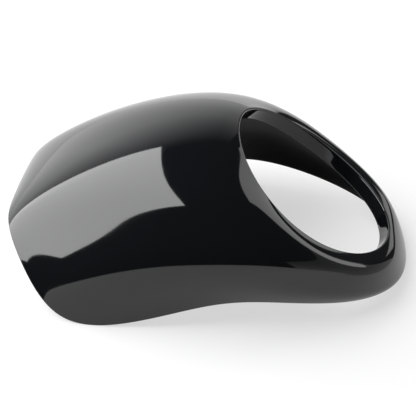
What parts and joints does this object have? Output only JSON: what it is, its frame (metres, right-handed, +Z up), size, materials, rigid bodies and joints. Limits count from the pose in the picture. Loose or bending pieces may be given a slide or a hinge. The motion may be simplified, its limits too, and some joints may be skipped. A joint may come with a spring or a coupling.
{
  "type": "motorcycle headlight cowl",
  "caption": "One-piece glossy headlight cowl: a domed shell with a round lamp opening at the front, sweeping back over the crown to a short flyscreen with a straight, raised top edge.",
  "frame": {"origin": "centre of the bounding box's bottom face: the cowl lies on its rear edge, as in the picture", "axes": "+X along the cowl's middle towards the chin under the lamp opening, +Y across, +Z up, away from the rear edge"},
  "size_m": [0.3174, 0.2402, 0.1196],
  "materials": {
    "gloss_moulding": "high-gloss black moulding"
  },
  "bodies": {
    "root": {"cowl": "gloss_moulding"}
  },
  "joints": []
}
